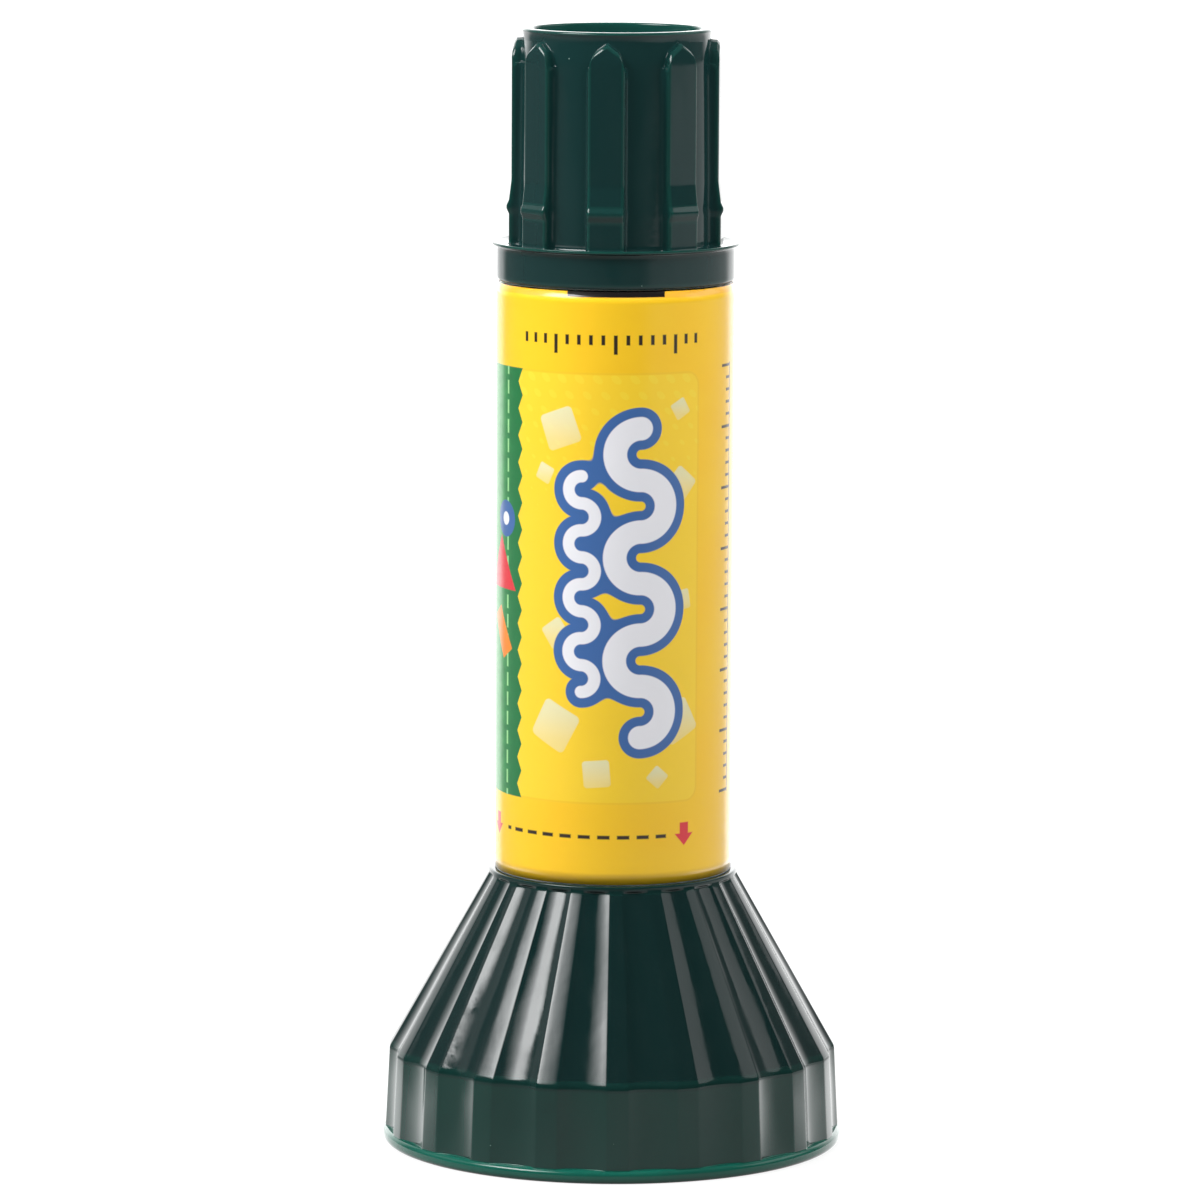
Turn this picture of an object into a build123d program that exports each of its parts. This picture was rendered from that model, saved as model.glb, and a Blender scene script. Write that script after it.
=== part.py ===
from build123d import *

import os
from math import cos, hypot, radians, sin

# A small glue stick that stands upside down on its flared, fluted cap. Sizes are in
# millimetres. The origin is the centre of the cap's underside and +Z runs up the axis, out of
# the knob, so the glue end points down. The front of the stick is -Y. Angles are in degrees
# from the front, positive towards +X.

# General
overrun = 1.0               # how far every cut runs past the face it opens
stop_gap = 0.3              # between faces of two bodies that meet at a stop
slide_play = 0.1            # radial play of what slides inside the barrel

# Barrel and label
barrel_radius = 9.65
barrel_wall = 1.85
barrel_length = 48.3        # from the cap's mouth to the tail
neck_step = 1.0             # the neck is thinner than the barrel by this
neck_length = 8.1
neck_edge = 0.35            # rounding at the open end
bead_height = 0.12
key_height = 0.4
key_width = 1.2
key_count = 2
label_thickness = 0.1
label_seam = 0.1            # bare barrel between the label and the cap

# Knob: collar, hollow ribbed stem, plug and hub
collar_gap = 0.2
collar_height = 3.22
collar_reach = 0.05         # the collar is wider than the bare barrel by this
collar_edge = 0.45
lip_reach = 0.4
lip_thickness = 0.22
lip_flare = 0.14            # height of the slope under the lip
lip_width = 0.5
stem_wall = 0.82
stem_height = 17.4          # from the collar's lip to the rim
rim_edge = 0.2
rib_count = 8
rib_turn = -6.0
rib_width = 3.0
rib_height = 0.76           # of the long face above the stem
rib_play = 0.3              # between a rib's long face and the cap's socket
rib_flare = 0.2             # the foot stands further out than the long face
rib_foot_height = 3.3       # from the lip to the top of the snap bump
rib_flare_height = 1.7
rib_top_drop = 0.9          # from the rim to the tip of a rib
rib_gable = 1.3
rib_draft = 4.0
bump_height = 0.2
bump_width = 1.0
plug_length = 5.0
plug_wall = 1.2
plug_play = 0.08
plug_bead_height = 0.33
plug_bead_width = 0.9
plug_bead_drop = 2.4        # from the tail to the middle of the bead
bead_play = 0.12
web_thickness = 1.4
hub_wall = 1.7
hub_length = 4.6

# Lead screw: a coarse left-hand thread
lead = 5.0
core_radius = 1.75
thread_height = 0.55
thread_root_width = 2.3
thread_crest_width = 1.3
thread_play = 0.15
thread_runout = 0.6
shank_step = 0.15           # the shank is thicker than the core by this
shank_flat_depth = 0.5      # of the flat that keeps the shank from turning
screw_flange_reach = 0.7
screw_flange_height = 0.5
screw_tip = 0.4

# Carrier and glue
carrier_wall = 0.8
carrier_floor = 1.2
carrier_tail_length = 5.0   # guide skirt behind the floor
carrier_cup_length = 3.5    # skirt that grips the glue
nut_wall = 0.95
glue_recess = 0.5
glue_cover = 2.5            # glue in front of the screw's tip
glue_bore_play = 0.1
glue_edge = 0.4

# Cap
flange_radius = 18.95
flange_height = 1.1
flange_edge = 0.45
flange_ledge = 0.2
band_height = 6.7
band_draft = 0.33
mouth_reach = 0.55          # the cap's mouth is wider than the bare barrel by this
mouth_ring_height = 0.45
mouth_edge = 0.15
flute_count = 20
flute_turn = 1.4            # the middle of the land nearest the front
land_share = 0.31           # of the pitch from one flute to the next
flute_sag_share = 0.086     # depth below the chord, of the chord
skin_thickness = 1.0
socket_play = 0.15
socket_wall = 0.9
socket_spare = 3.1          # free depth under the knob's rim, with the cap on the knob
socket_floor = 1.2
socket_lift = 1.05          # from the table to the socket's floor
groove_depth = 0.2
groove_width = 1.3

# Radii that follow
barrel_bore_radius = barrel_radius - barrel_wall
neck_radius = barrel_radius - neck_step
collar_radius = barrel_radius + collar_reach
mouth_radius = barrel_radius + mouth_reach
socket_radius = neck_radius + socket_play
tube_radius = socket_radius + socket_wall
band_foot_radius = flange_radius - flange_ledge
shoulder_radius = band_foot_radius - band_draft
rib_radius = socket_radius - rib_play
stem_radius = rib_radius - rib_height
stem_bore_radius = stem_radius - stem_wall
rib_foot_radius = rib_radius + rib_flare
plug_radius = barrel_bore_radius - plug_play
plug_bore_radius = plug_radius - plug_wall
carrier_radius = barrel_bore_radius - slide_play
cup_radius = carrier_radius - carrier_wall
key_radius = barrel_bore_radius - key_height
crest_radius = core_radius + thread_height
nut_radius = crest_radius + thread_play + nut_wall
glue_bore_radius = crest_radius + glue_bore_play
shank_radius = core_radius + shank_step
shank_flat = shank_radius - shank_flat_depth
screw_flange_radius = shank_radius + screw_flange_reach
hub_radius = shank_radius + hub_wall

# Heights that follow
socket_floor_z = socket_lift + socket_floor
mouth_z = socket_floor_z + stem_height + socket_spare
shoulder_z = flange_height + band_height
ring_z = mouth_z - mouth_ring_height
neck_end_z = mouth_z - neck_length
tail_z = mouth_z + barrel_length
collar_base_z = tail_z + collar_gap
lip_z = collar_base_z + collar_height
collar_face_z = lip_z - lip_thickness
rim_z = lip_z + stem_height
web_z = collar_face_z - web_thickness
hub_end_z = web_z - hub_length
plug_end_z = collar_base_z - plug_length
plug_bead_z = tail_z - plug_bead_drop
bump_z = lip_z + rib_foot_height - bump_width / 2
groove_z = mouth_z - (bump_z - lip_z)
carrier_end_z = plug_end_z - stop_gap
carrier_floor_z = carrier_end_z - carrier_tail_length - carrier_floor
cup_end_z = carrier_floor_z - carrier_cup_length
glue_front_z = neck_end_z + glue_recess
screw_tip_z = glue_front_z + glue_cover
thread_start_z = screw_tip_z + screw_tip
thread_end_z = hub_end_z - screw_flange_height - thread_runout


def post(radius, low, high):
    """A round bar on the axis, from one height to another."""
    return Pos(0, 0, low) * Cylinder(radius, high - low, align=(Align.CENTER, Align.CENTER, Align.MIN))


def ring(outer, inner, low, high):
    """A tube on the axis."""
    return post(outer, low, high) - post(inner, low - overrun, high + overrun)


def turned(points):
    """The solid that an outline of (radius, height) points sweeps round the axis."""
    return revolve(Plane.XZ * make_face(Polyline(*points, close=True)), Axis.Z)


def bead(radius, height, middle, width):
    """A ring with sloping flanks that stands proud of a radius; a negative height is inside it."""
    inner, outer = radius - abs(height), radius + height
    return turned([
        (inner, middle - width / 2),
        (radius, middle - width / 2),
        (outer, middle - width / 6),
        (outer, middle + width / 6),
        (radius, middle + width / 2),
        (inner, middle + width / 2),
    ])


def from_front(angle, radius, height):
    """The point at an angle from the front, a radius and a height."""
    return Vector(radius * sin(radians(angle)), -radius * cos(radians(angle)), height)


def rounded(shape, heights, radius, size):
    """The shape with its round edges at some heights and one radius filleted."""
    edges = [
        edge
        for edge in shape.edges().filter_by(GeomType.CIRCLE)
        if any(abs(edge.center().Z - height) < size / 10 for height in heights)
        and abs(edge.radius - radius) < size / 10
    ]
    return fillet(edges, size)


# Cap
flute_pitch = 360 / flute_count
flute_angle = flute_pitch * (1 - land_share)


def flute_depth(radius):
    """How far a flute's middle lies inside the lands, where the lands have this radius."""
    chord = 2 * radius * sin(radians(flute_angle / 2))
    return radius * (1 - cos(radians(flute_angle / 2))) + flute_sag_share * chord


def fluted_face(radius, height):
    """The cap's section: round lands with hollow flutes between them."""
    edges = []
    for index in range(flute_count):
        land_middle = flute_turn + index * flute_pitch
        land_start = land_middle - flute_pitch * land_share / 2
        land_end = land_middle + flute_pitch * land_share / 2
        next_start = land_start + flute_pitch
        edges.append(ThreePointArc(
            from_front(land_start, radius, height),
            from_front(land_middle, radius, height),
            from_front(land_end, radius, height),
        ))
        edges.append(ThreePointArc(
            from_front(land_end, radius, height),
            from_front(land_middle + flute_pitch / 2, radius - flute_depth(radius), height),
            from_front(next_start, radius, height),
        ))
    return make_face(edges)


def cap_recess():
    """The open space inside the bell, round the socket's tube and under its floor."""
    skin = flute_depth(shoulder_radius) + skin_thickness
    slope = (shoulder_radius - mouth_radius) / (ring_z - shoulder_z)
    skin_across = skin * hypot(1, slope)
    inner_shoulder_z = shoulder_z - (skin_across - skin) / slope
    apex_z = shoulder_z + (shoulder_radius - skin_across - tube_radius) / slope
    return turned([
        (0, -overrun),
        (band_foot_radius - skin, -overrun),
        (band_foot_radius - skin, 0),
        (shoulder_radius - skin, inner_shoulder_z),
        (tube_radius, apex_z),
        (tube_radius, socket_lift),
        (0, socket_lift),
    ])


def make_cap():
    flange = rounded(post(flange_radius, 0, flange_height), (0, flange_height), flange_radius, flange_edge)
    foot = fluted_face(band_foot_radius, flange_height)
    shoulder = fluted_face(shoulder_radius, shoulder_z)
    top = fluted_face(mouth_radius, ring_z)
    mouth = rounded(post(mouth_radius, ring_z, mouth_z), (mouth_z,), mouth_radius, mouth_edge)
    body = flange + loft([foot, shoulder], ruled=True) + loft([shoulder, top], ruled=True) + mouth
    socket = post(socket_radius, socket_floor_z, mouth_z + overrun)
    groove = bead(socket_radius, groove_depth, groove_z, groove_width)
    return body - cap_recess() - socket - groove


# Barrel and label
def make_barrel():
    body = post(barrel_radius, mouth_z, tail_z) + post(neck_radius, neck_end_z, mouth_z)
    body = rounded(body, (neck_end_z,), neck_radius, neck_edge)
    body += bead(neck_radius, bead_height, groove_z, bump_width)
    body -= post(barrel_bore_radius, neck_end_z - overrun, tail_z + overrun)
    body -= bead(barrel_bore_radius, plug_bead_height + bead_play - plug_play, plug_bead_z,
                 plug_bead_width + 2 * bead_play)
    key_low, key_high = glue_front_z, plug_end_z - stop_gap
    for index in range(key_count):
        key = Box(2 * key_height, key_width, key_high - key_low)
        body += Rot(0, 0, index * 360 / key_count) * Pos(
            barrel_bore_radius, 0, (key_low + key_high) / 2) * key
    return body


def make_label():
    return ring(barrel_radius + label_thickness, barrel_radius, mouth_z + label_seam, tail_z)


def key_slots(low, high):
    """The space that the barrel's keys need in what slides past them."""
    slots = Part()
    slot_radius = key_radius - slide_play
    for index in range(key_count):
        slot = Box(2 * key_height + overrun, key_width + 2 * slide_play, high - low)
        slots += Rot(0, 0, index * 360 / key_count) * Pos(
            slot_radius + key_height + overrun / 2, 0, (low + high) / 2) * slot
    return slots


# Knob
def make_rib():
    """One rib along +X: a drafted blade with a pointed tip, a flared foot and a snap bump."""
    low = collar_face_z - lip_thickness
    tip_z = rim_z - rib_top_drop
    inner = stem_radius - stem_wall / 2
    bump_radius = rib_foot_radius + bump_height
    side = make_face(Plane.XZ * Polyline(
        (inner, low),
        (rib_foot_radius, low),
        (rib_foot_radius, bump_z - bump_width / 2),
        (bump_radius, bump_z - bump_width / 4),
        (bump_radius, bump_z + bump_width / 4),
        (rib_foot_radius, bump_z + bump_width / 2),
        (rib_radius, bump_z + bump_width / 2 + rib_flare_height),
        (rib_radius, tip_z - rib_gable),
        (rib_radius - bump_height, tip_z),
        (inner, tip_z),
        close=True,
    ))
    blade = extrude(side, rib_width, both=True)
    front = Plane(origin=(inner, 0, 0), x_dir=(0, 1, 0), z_dir=(1, 0, 0))
    gable = make_face(front * Polyline(
        (-rib_width / 2, low),
        (rib_width / 2, low),
        (rib_width / 2, tip_z - rib_gable),
        (0, tip_z),
        (-rib_width / 2, tip_z - rib_gable),
        close=True,
    ))
    return blade & extrude(gable, bump_radius - inner + overrun, taper=rib_draft)


def make_collar():
    """The round collar with its thin flared lip, and the shallow dish inside the lip."""
    body = rounded(post(collar_radius, collar_base_z, lip_z), (collar_base_z,), collar_radius, collar_edge)
    lip_radius = collar_radius + lip_reach
    body += turned([
        (collar_radius - lip_width, lip_z),
        (collar_radius - lip_width, collar_face_z - lip_flare),
        (collar_radius, collar_face_z - lip_flare),
        (lip_radius, collar_face_z),
        (lip_radius, lip_z),
    ])
    return body - post(collar_radius - lip_width, collar_face_z, lip_z + overrun)


def shank(radius, flat, low, high):
    """A round shank with one flat."""
    blank = post(radius, low, high)
    cut = Pos(flat + radius, 0, (low + high) / 2) * Box(2 * radius, 2 * radius, high - low + 2 * overrun)
    return blank - cut


def make_knob():
    stem = rounded(post(stem_radius, collar_base_z, rim_z), (rim_z,), stem_radius, rim_edge)
    plug = post(plug_radius, plug_end_z, collar_base_z)
    plug += bead(plug_radius, plug_bead_height, plug_bead_z, plug_bead_width)
    body = make_collar() + stem + plug
    rib = make_rib()
    for index in range(rib_count):
        body += Rot(0, 0, rib_turn - 90 + index * 360 / rib_count) * rib
    body -= post(stem_bore_radius, collar_face_z, rim_z + overrun)
    body -= post(plug_bore_radius, plug_end_z - overrun, web_z)
    body += post(hub_radius, hub_end_z, web_z)
    return body - shank(shank_radius, shank_flat, hub_end_z - overrun, web_z)


# Lead screw
def thread(root, crest, root_width, crest_width, low, high):
    """A left-hand ridge that winds from one height to another, sunk a little into its core."""
    path = Helix(lead, high - low, root, center=(0, 0, low), lefthand=True)
    sink = thread_height / 2
    flank = (root_width - crest_width) / 2 / (crest - root)
    foot_width = root_width + 2 * flank * sink
    profile = make_face(Plane.XZ * Polyline(
        (root - sink, low - foot_width / 2),
        (crest, low - crest_width / 2),
        (crest, low + crest_width / 2),
        (root - sink, low + foot_width / 2),
        close=True,
    ))
    return sweep(profile, path=path, is_frenet=True)


def make_lead_screw():
    flange_z = hub_end_z - screw_flange_height
    core = post(core_radius, screw_tip_z, flange_z)
    core = chamfer(core.edges().sort_by(Axis.Z)[0], screw_tip)
    core += post(screw_flange_radius, flange_z, hub_end_z)
    core += shank(shank_radius, shank_flat, hub_end_z, web_z)
    ridge = thread(core_radius, crest_radius, thread_root_width, thread_crest_width,
                   thread_start_z + thread_root_width / 2, thread_end_z)
    return core + ridge


# Carrier and glue
def make_carrier():
    floor_top_z = carrier_floor_z + carrier_floor
    body = ring(carrier_radius, cup_radius, cup_end_z, carrier_end_z)
    body += post(cup_radius + carrier_wall / 2, carrier_floor_z, floor_top_z)
    body += post(nut_radius, floor_top_z, carrier_end_z)
    turns = int((carrier_floor_z - thread_start_z) / lead) - 1
    cutter_low = thread_start_z + thread_root_width / 2 + turns * lead
    cutter_high = carrier_end_z + lead
    cutter = post(core_radius + thread_play, cutter_low - lead, cutter_high + lead)
    cutter += thread(core_radius + thread_play, crest_radius + thread_play,
                     thread_root_width + 2 * thread_play, thread_crest_width + 2 * thread_play,
                     cutter_low, cutter_high)
    return body - cutter - key_slots(cup_end_z - overrun, carrier_end_z + overrun)


def make_glue():
    stick = post(carrier_radius, glue_front_z, cup_end_z)
    stick = chamfer(stick.edges().sort_by(Axis.Z)[0], glue_edge)
    stick += post(cup_radius, cup_end_z, carrier_floor_z)
    stick -= post(glue_bore_radius, screw_tip_z - glue_bore_play, carrier_floor_z + overrun)
    return stick - key_slots(glue_front_z - overrun, carrier_floor_z + overrun)


os.makedirs("parts", exist_ok=True)
makers = {
    "cap": make_cap,
    "barrel": make_barrel,
    "label": make_label,
    "knob": make_knob,
    "lead_screw": make_lead_screw,
    "carrier": make_carrier,
    "glue": make_glue,
}
for node, make in makers.items():
    export_step(make(), f"parts/{node}.step")

turn_travel = glue_front_z - socket_floor_z - stop_gap
print(f"free feed with the cap on {turn_travel:.2f} mm, {turn_travel / lead:.2f} turns")
print(f"glue {glue_front_z:.2f} to {carrier_floor_z:.2f} mm, rim at {rim_z:.2f} mm")
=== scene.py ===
from math import cos, hypot, pi, radians, sin, tan

import bpy
import numpy as np
from mathutils import Matrix, Vector


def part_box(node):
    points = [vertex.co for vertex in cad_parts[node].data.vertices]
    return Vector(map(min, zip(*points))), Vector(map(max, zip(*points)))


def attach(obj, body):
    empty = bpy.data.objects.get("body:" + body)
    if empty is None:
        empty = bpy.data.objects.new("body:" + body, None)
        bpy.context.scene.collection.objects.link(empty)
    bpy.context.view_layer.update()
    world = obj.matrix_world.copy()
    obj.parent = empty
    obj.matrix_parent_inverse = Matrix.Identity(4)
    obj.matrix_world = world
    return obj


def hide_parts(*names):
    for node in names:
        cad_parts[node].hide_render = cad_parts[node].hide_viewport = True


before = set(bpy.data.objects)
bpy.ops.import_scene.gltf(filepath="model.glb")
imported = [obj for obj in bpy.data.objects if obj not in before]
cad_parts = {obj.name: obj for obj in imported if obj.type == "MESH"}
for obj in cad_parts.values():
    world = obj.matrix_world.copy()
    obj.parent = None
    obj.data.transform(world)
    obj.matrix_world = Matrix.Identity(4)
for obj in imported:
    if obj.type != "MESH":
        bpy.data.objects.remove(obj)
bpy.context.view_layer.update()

# The looks of a small glue stick that stands upside down on its fluted cap. Lengths are in
# metres. Angles are in degrees from the front (-Y), positive towards +X. Radii and heights are
# those of the solids, of which the cap, the knob, the label and the glue get finer skins here.
mm = 0.001

# Barrel and label
barrel_radius = 9.65 * mm
tail_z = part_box("barrel")[1].z
mouth_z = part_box("cap")[1].z
label_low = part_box("label")[0].z
film_thickness = 0.085 * mm
film_lap = 8.0                  # degrees by which the film's end covers its start
film_lap_ramp = 1.5             # degrees in which the end climbs on to the start
film_start = -172.0
film_wave = 0.012 * mm          # how far its faint waves stand out
film_wave_around = 6.0 * mm     # and their lengths, for each radian of a wave
film_wave_up = 3.7 * mm
film_reach = 0.15 * mm          # of the film above the barrel's end, under the collar

# Knob
rim_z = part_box("knob")[1].z
plug_end_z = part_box("knob")[0].z
stem_radius = 7.74 * mm
stem_bore_radius = 6.92 * mm
stem_taper = 0.14 * mm          # the stem is wider at its foot by this
neck_dent = 0.12 * mm           # and narrower under the rim
neck_drop = 0.6 * mm
neck_length = 2.4 * mm
rim_edge = 0.2 * mm
lip_z = rim_z - 17.4 * mm
dish_z = lip_z - 0.22 * mm
dish_radius = 9.2 * mm
lip_radius = 10.1 * mm
lip_slope = 0.66 * mm
lip_edge = 0.05 * mm
lip_foot_z = dish_z - 0.14 * mm
collar_radius = 9.7 * mm
collar_low = lip_z - 3.22 * mm
collar_edge = 0.4 * mm
rib_count = 8
rib_turn = -6.0
rib_half_width = 1.5 * mm
rib_radius = 8.5 * mm
rib_crown = 0.03 * mm
rib_edge = 0.2 * mm
rib_fillet = 0.2 * mm
rib_draft = 4.0
rib_tip_z = rim_z - 0.9 * mm
gable_slope = 0.7
shoulder_start = 0.95 * mm      # from the rib's middle to where its shoulder starts to turn down
shoulder_drop = 0.9 * mm
rib_tip_bevel = 0.12 * mm
rib_foot_radius = 8.7 * mm
foot_spread_share = 0.012       # how much wider the ribs' feet are where they meet the dish
bump_radius = 8.9 * mm
bump_z = lip_z + 2.8 * mm
bump_width = 1.15 * mm
rib_flare_top = bump_z + 2.2 * mm
plug_radius = 7.72 * mm
plug_bore_radius = 6.52 * mm
plug_bead_z = tail_z - 2.4 * mm
plug_bead_height = 0.33 * mm
plug_bead_width = 0.9 * mm
plug_edge = 0.1 * mm
web_z = dish_z - 1.4 * mm
hub_radius = 3.6 * mm
hub_end_z = web_z - 4.6 * mm
shank_radius = 1.9 * mm
shank_flat = 1.4 * mm
tip_clear = 0.2 * mm            # plain stem between a rib's tip and the rows above it
tip_low = 0.3 * mm              # below the gable's line, where the ribs stand out in full
full_rib_drop = 4.0 * mm        # below the rim, where all of a rib's width stands out
tip_shares = ((0.14, 0.0), (0.06, 0.05), (0.02, 0.3), (0.0, 0.72), (-0.03, 0.76), (-0.26, 0.985),
              (-0.3, 1.0))      # height above the gable's line, of a millimetre, and how far ribs stand

# Cap
flange_radius = 18.95 * mm
flange_height = 1.1 * mm
flange_edge = 0.45 * mm
foot_fillet = 0.08 * mm
band_foot_radius = 18.75 * mm
shoulder_radius = 18.42 * mm
shoulder_z = flange_height + 6.7 * mm
shoulder_edge = 0.2 * mm
mouth_radius = 10.2 * mm
mouth_edge = 0.15 * mm
ring_z = mouth_z - 0.45 * mm
ring_ease = 0.13 * mm
flute_count = 20
flute_turn = 1.4
flute_pitch = 360 / flute_count
land_share = 0.31
flute_sag_share = 0.086
flute_edge = 0.36               # degrees over which a land's edge is rounded, each way
flute_spread_share = 0.09       # how much the depth varies from flute to flute
flute_ripple_share = 0.06       # and along a flute
flute_lean_share = 0.3          # how far a flute's deepest line may lie off its middle
ripple_length = 11.0 * mm
socket_radius = 8.8 * mm
socket_lift = 1.05 * mm
socket_floor_z = socket_lift + 1.2 * mm
socket_edge = 0.3 * mm
groove_z = mouth_z - 2.8 * mm
groove_depth = 0.2 * mm
groove_width = 1.3 * mm
tube_radius = 9.7 * mm
skin_thickness = 1.45 * mm

# Glue
glue_radius = 7.7 * mm
glue_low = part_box("glue")[0].z
glue_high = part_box("glue")[1].z
glue_cup_radius = 6.9 * mm
glue_cup_z = glue_high - 3.5 * mm
glue_cup_clear = 0.2 * mm
glue_edge = 0.4 * mm
glue_dimple = 0.25 * mm         # depth of the shallow hollow in its front
glue_ripple = 0.03 * mm
glue_bore_radius = 2.4 * mm
glue_bore_z = glue_low + 2.4 * mm
slot_radius = 7.3 * mm
slot_half_width = 0.7 * mm

# Rows of the meshes: how far the first plain row lies from a corner
wide_inset = 1.0 * mm
middle_inset = 0.6 * mm
apex_inset = 0.5 * mm
close_inset = 0.3 * mm
foot_inset = 0.06 * mm

# Painted glow: how far each wall's green is painted lighter, standing in for light shining through it and
# bounced up from the floor, from 0 for a thick one to 1 for the thinnest
foot_glow_share = 1.0
bell_glow_share = 0.45
rim_glow_share = 0.37
rim_side_glow_share = 0.3
bore_glow_share = 0.26
band_glow_share = 0.24
edge_glow_share = 0.22
tip_glow_share = 0.19
turn_glow_share = 0.12
bump_glow_share = 0.11
mouth_glow_share = 0.09
ring_glow_share = 0.06

# Colours, as linear red, green and blue
# The first two greens are one plastic in two copies: the cap's darker, as painted shade, and the knob's
# lighter, as painted light
cap_shaded_green = (0.0034, 0.0160, 0.0155, 1)
knob_lit_green = (0.0062, 0.0290, 0.0285, 1)
# Painted glow: the lighter green that stands in for light through thin walls and from the floor
painted_glow_green = (0.0060, 0.096, 0.067, 1)
dust = (0.16, 0.27, 0.23, 1)
film_yellow = (0.98, 0.575, 0.013, 1)
cloud_yellow = (0.98, 0.60, 0.016, 1)
rule_yellow = (0.90, 0.50, 0.01, 1)
panel_yellow = (0.97, 0.66, 0.03, 1)
dot_yellow = (0.98, 0.74, 0.05, 1)
# A darker orange for the film's tail edge: painted shade
tail_shade_orange = (0.72, 0.28, 0.004, 1)
grass_green = (0.045, 0.36, 0.085, 1)
leaf_green = (0.008, 0.17, 0.045, 1)
mint = (0.34, 0.72, 0.30, 1)
ink_blue = (0.045, 0.135, 0.375, 1)
ink_white = (0.86, 0.86, 0.90, 1)
ink_pale = (0.80, 0.78, 0.52, 1)
ink_red = (0.74, 0.030, 0.045, 1)
ink_orange = (0.92, 0.25, 0.012, 1)
ink_dark = (0.024, 0.016, 0.008, 1)
ink_black = (0.006, 0.005, 0.005, 1)
natural_white = (0.82, 0.81, 0.76, 1)
glue_white = (0.83, 0.82, 0.75, 1)
glue_damp = (0.78, 0.77, 0.68, 1)
cloud_share = 0.93              # how much darker a white plastic's clouds are

# Surfaces: sizes of the lumps in their colour, gloss and relief, and depths of the relief
green_cloud = 5.0 * mm
green_scuff = 1.3 * mm
green_mould = 2.5 * mm
green_grain = 0.6 * mm
green_depth = 0.02 * mm
speck_size = 0.07 * mm
speck_cell = 2.0 * mm
speck_share = 0.14
white_cloud = 6.0 * mm
white_scuff = 1.5 * mm
white_grain = 0.6 * mm
white_scatter = 1.0 * mm
paste_cloud = 4.0 * mm
paste_scuff = 2.0 * mm
paste_lump = 1.2 * mm
paste_grain = 0.25 * mm
paste_depth = 0.05 * mm
paste_scatter = 1.5 * mm
film_cloud = 7.0 * mm
film_ripple = 2.5 * mm
film_grain = 0.5 * mm
satin_depth = 0.006 * mm


# Meshes
def polar(angle, radius, height):
    """Points from angles, radii and heights, as rows of x, y and z."""
    angle, radius, height = np.broadcast_arrays(np.radians(angle), radius, height)
    return np.stack([radius * np.sin(angle), -radius * np.cos(angle), height], axis=-1)


def add_piece(name, points, faces, body, finish, painted_glow=None):
    """A smooth mesh piece that rides on a body; the last argument gives each point's painted glow, how far
    its green is painted lighter to stand in for light through its wall.
    """
    mesh = bpy.data.meshes.new(name)
    mesh.from_pydata([tuple(point) for point in points], [], [tuple(face) for face in faces])
    if painted_glow is not None:
        mesh.attributes.new("painted_glow", "FLOAT", "POINT").data.foreach_set("value", np.ravel(painted_glow))
    mesh.shade_smooth()
    mesh.materials.append(finish)
    piece = bpy.data.objects.new(name, mesh)
    bpy.context.scene.collection.objects.link(piece)
    piece.modifiers.new("even_normals", "WEIGHTED_NORMAL")
    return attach(piece, body)


def ring_faces(rows, columns):
    """The quads between rings, each joined to the next and closed all the way round."""
    row, column = np.meshgrid(np.arange(rows - 1), np.arange(columns), indexing="ij")
    after = (column + 1) % columns
    corners = [(row + 1) * columns + column, (row + 1) * columns + after,
               row * columns + after, row * columns + column]
    return np.stack(corners, axis=-1).reshape(-1, 4).tolist()


def turned_skin(rings, start, end):
    """The points and faces of a closed skin through rings, from one pole on the axis to another."""
    rows, columns = len(rings), len(rings[0])
    points = np.concatenate([*rings, [start], [end]])
    faces = ring_faces(rows, columns)
    first, last = rows * columns, rows * columns + 1
    for column in range(columns):
        after = (column + 1) % columns
        faces.append((column, after, first))
        faces.append(((rows - 1) * columns + after, (rows - 1) * columns + column, last))
    return points, faces


def arc(centre_radius, centre_height, size, start, end, steps):
    """Points (radius, height) on a rounding, from one angle above outwards to another."""
    turns = np.radians(np.linspace(start, end, steps))
    return [(centre_radius + size * cos(turn), centre_height + size * sin(turn)) for turn in turns]


def soften(shape, width, steps=9):
    """The shape, a function of one value, with its corners rounded over a width each way."""
    shifts = np.linspace(-width, width, steps)
    return lambda value: np.mean([shape(value + shift) for shift in shifts], axis=0)


def spaced(start, end, steps):
    """Heights or shares from start to end, evenly spaced."""
    return np.linspace(start, end, steps)


# Cap
luck = np.random.default_rng(3)
flute_spread = luck.uniform(-1, 1, flute_count)
flute_lean = luck.uniform(-1, 1, flute_count)
flute_phase = luck.uniform(0, 2 * pi, flute_count)


def flute_share(angle, height):
    """The cap's radius at an angle, as a share of the radius of the lands between the flutes."""
    land_half = flute_pitch * land_share / 2
    half = flute_pitch / 2 - land_half
    number = ((angle - flute_turn) // flute_pitch).astype(int) % flute_count
    across = np.clip((angle - flute_turn) % flute_pitch - flute_pitch / 2, -half, half)
    chord_half = sin(radians(half))
    sag = 2 * chord_half * flute_sag_share
    hollow_radius = (chord_half ** 2 + sag ** 2) / (2 * sag)
    hollow_centre = cos(radians(half)) - sag + hollow_radius
    turn = np.radians(across)
    reach = hollow_centre * np.cos(turn) - np.sqrt(hollow_radius ** 2 - (hollow_centre * np.sin(turn)) ** 2)
    ripple = np.sin(2 * pi * height / ripple_length + flute_phase[number])
    depth = 1 + flute_spread_share * flute_spread[number] + flute_ripple_share * ripple
    lean = 1 + flute_lean_share * flute_lean[number] * across / half
    return 1 - (1 - reach) * depth * lean


def cap_angles():
    """The cap's columns: close together at the edges of the lands, wider elsewhere."""
    land_half = flute_pitch * land_share / 2
    edge = np.linspace(-flute_edge, flute_edge, 7)
    land = np.linspace(-land_half + flute_edge, land_half - flute_edge, 5)
    flute = np.linspace(land_half + flute_edge, flute_pitch - land_half - flute_edge, 15)
    one = np.concatenate([land, land_half + edge, flute, -land_half + edge]) % flute_pitch
    one = np.unique(np.round(one, 9))
    starts = flute_turn + flute_pitch * np.arange(flute_count)
    return (starts[:, None] + one).ravel()


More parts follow.
